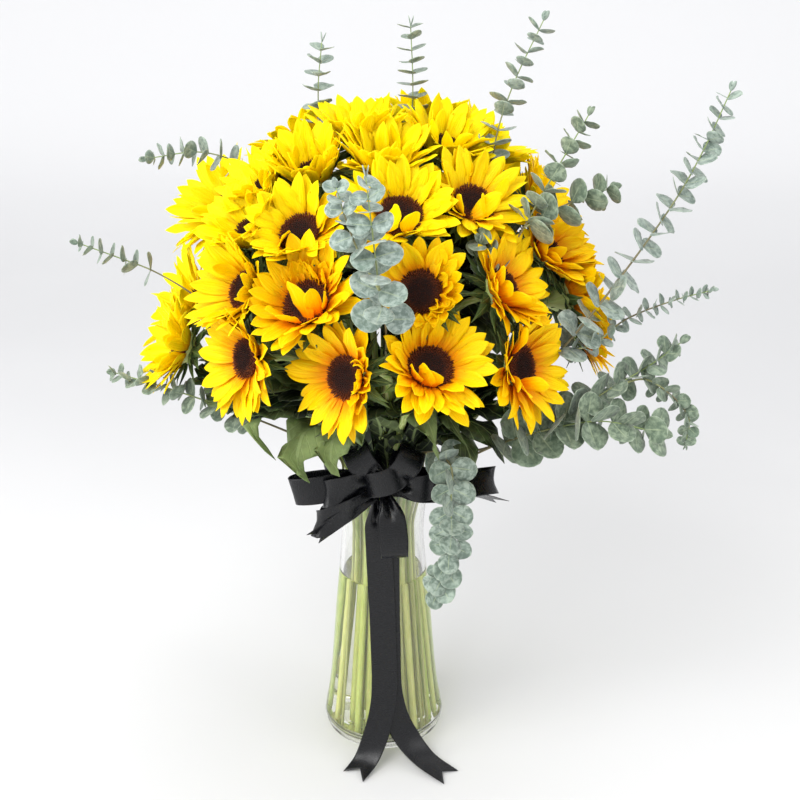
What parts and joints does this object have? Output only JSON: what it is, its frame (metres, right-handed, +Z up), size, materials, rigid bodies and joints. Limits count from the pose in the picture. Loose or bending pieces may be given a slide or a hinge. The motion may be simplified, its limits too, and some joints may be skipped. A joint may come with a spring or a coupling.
{
  "type": "sunflowers in a vase",
  "caption": "Dome of cut sunflowers and eucalyptus sprays in a waisted clear glass vase of water, with a black satin ribbon bow and two long tails.",
  "frame": {"origin": "centre of the vase's underside", "axes": "+Z up along the vase's axis, the bow and the pictured front towards -Y, +X to the right"},
  "size_m": [0.5572, 0.4862, 0.7091],
  "materials": {
    "glass": "clear",
    "water": "clear",
    "green": "matte",
    "petal": "matte",
    "disc": "matte",
    "eucalyptus": "matte",
    "satin": "satin"
  },
  "bodies": {
    "root": {"vase": "glass", "water": "water", "sunflower_stems": "green", "petals_front_low": "petal", "petals_front_middle": "petal", "petals_left": "petal", "petals_right": "petal", "petals_top": "petal", "petals_back": "petal", "disc_01": "disc", "disc_02": "disc", "disc_03": "disc", "disc_04": "disc", "disc_05": "disc", "disc_06": "disc", "disc_07": "disc", "disc_08": "disc", "disc_09": "disc", "disc_10": "disc", "disc_11": "disc", "disc_12": "disc", "disc_13": "disc", "disc_14": "disc", "disc_15": "disc", "disc_16": "disc", "disc_17": "disc", "disc_18": "disc", "disc_19": "disc", "disc_20": "disc", "disc_21": "disc", "disc_22": "disc", "disc_23": "disc", "disc_24": "disc", "disc_25": "disc", "disc_26": "disc", "disc_27": "disc", "disc_28": "disc", "disc_29": "disc", "disc_30": "disc", "disc_31": "disc", "disc_32": "disc", "disc_33": "disc", "disc_34": "disc", "disc_35": "disc", "eucalyptus_left_high": "eucalyptus", "eucalyptus_left_middle": "eucalyptus", "eucalyptus_left_low": "eucalyptus", "eucalyptus_top_left": "eucalyptus", "eucalyptus_top": "eucalyptus", "eucalyptus_top_right": "eucalyptus", "eucalyptus_right_high": "eucalyptus", "eucalyptus_right_long": "eucalyptus", "eucalyptus_right_low": "eucalyptus", "eucalyptus_right_front": "eucalyptus", "eucalyptus_front": "eucalyptus", "eucalyptus_hanging": "eucalyptus", "eucalyptus_back": "eucalyptus", "ribbon_bow": "satin", "ribbon_tail_left": "satin", "ribbon_tail_right": "satin"}
  },
  "joints": []
}
